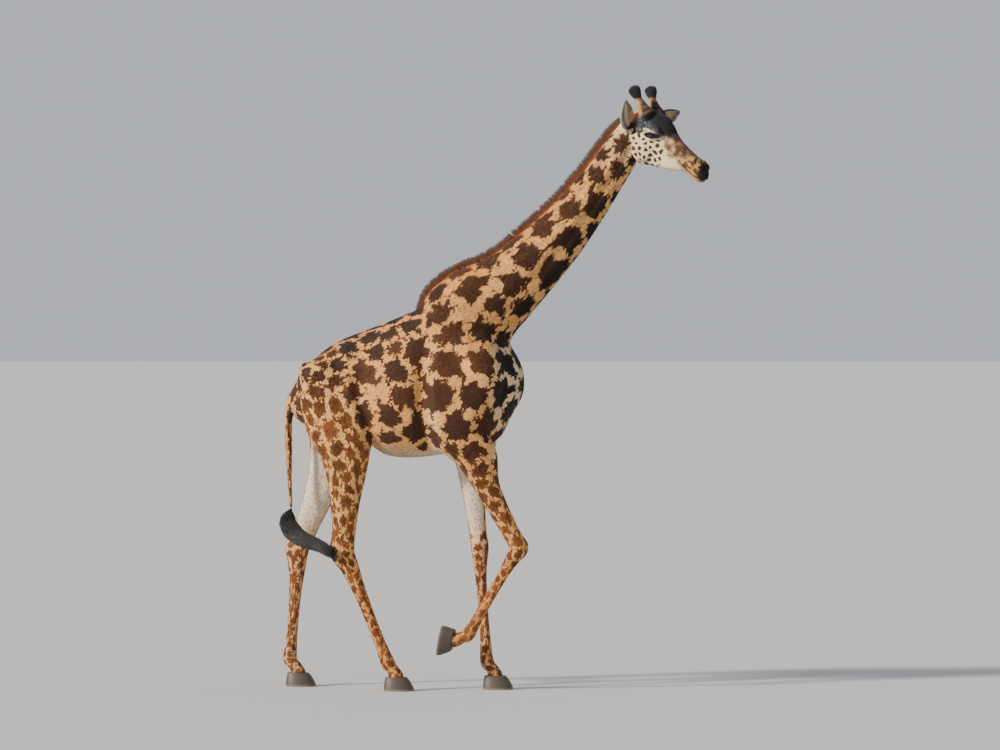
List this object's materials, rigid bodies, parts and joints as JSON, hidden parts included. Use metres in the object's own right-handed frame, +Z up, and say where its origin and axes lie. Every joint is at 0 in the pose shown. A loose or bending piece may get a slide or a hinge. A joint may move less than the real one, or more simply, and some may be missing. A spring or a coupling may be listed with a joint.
{
  "type": "giraffe",
  "caption": "Life-size still model of a walking Masai giraffe, head turned to its right, right forefoot lifted, standing on its hooves.",
  "frame": {"origin": "on the floor, under the middle of the whole animal's box", "axes": "+X the way the animal walks, +Y towards its left side, +Z up"},
  "size_m": [3.0068, 0.6576, 4.0827],
  "materials": {
    "spotted_coat": "short flat hair, cream-tan with dark brown jagged spots",
    "face": "very short hair, cream cheeks, grey forehead, tan muzzle",
    "pale_coat": "short pale hair",
    "mane": "stiff upright red-brown hair",
    "black_hair": "long coarse black hair",
    "eye": "wet and glossy, dark brown",
    "hoof": "dull dark horn"
  },
  "bodies": {
    "root": {"eye_right": "eye", "ossicone_right": "face", "ear_right": "pale_coat", "eye_left": "eye", "ossicone_left": "face", "ear_left": "pale_coat", "trunk": "spotted_coat", "neck": "spotted_coat", "head": "face", "mane": "mane", "tail": "spotted_coat", "tail_tassel": "black_hair", "foreleg_right_upper": "spotted_coat", "foreleg_right_lower": "spotted_coat", "foreleg_right_foot": "pale_coat", "hoof_fore_right_inner": "hoof", "hoof_fore_right_outer": "hoof", "foreleg_left_upper": "spotted_coat", "foreleg_left_lower": "spotted_coat", "foreleg_left_foot": "pale_coat", "hoof_fore_left_inner": "hoof", "hoof_fore_left_outer": "hoof", "hindleg_right_upper": "spotted_coat", "hindleg_right_lower": "spotted_coat", "hindleg_right_foot": "pale_coat", "hoof_hind_right_inner": "hoof", "hoof_hind_right_outer": "hoof", "hindleg_left_upper": "spotted_coat", "hindleg_left_lower": "spotted_coat", "hindleg_left_foot": "pale_coat", "hoof_hind_left_inner": "hoof", "hoof_hind_left_outer": "hoof"}
  },
  "joints": []
}
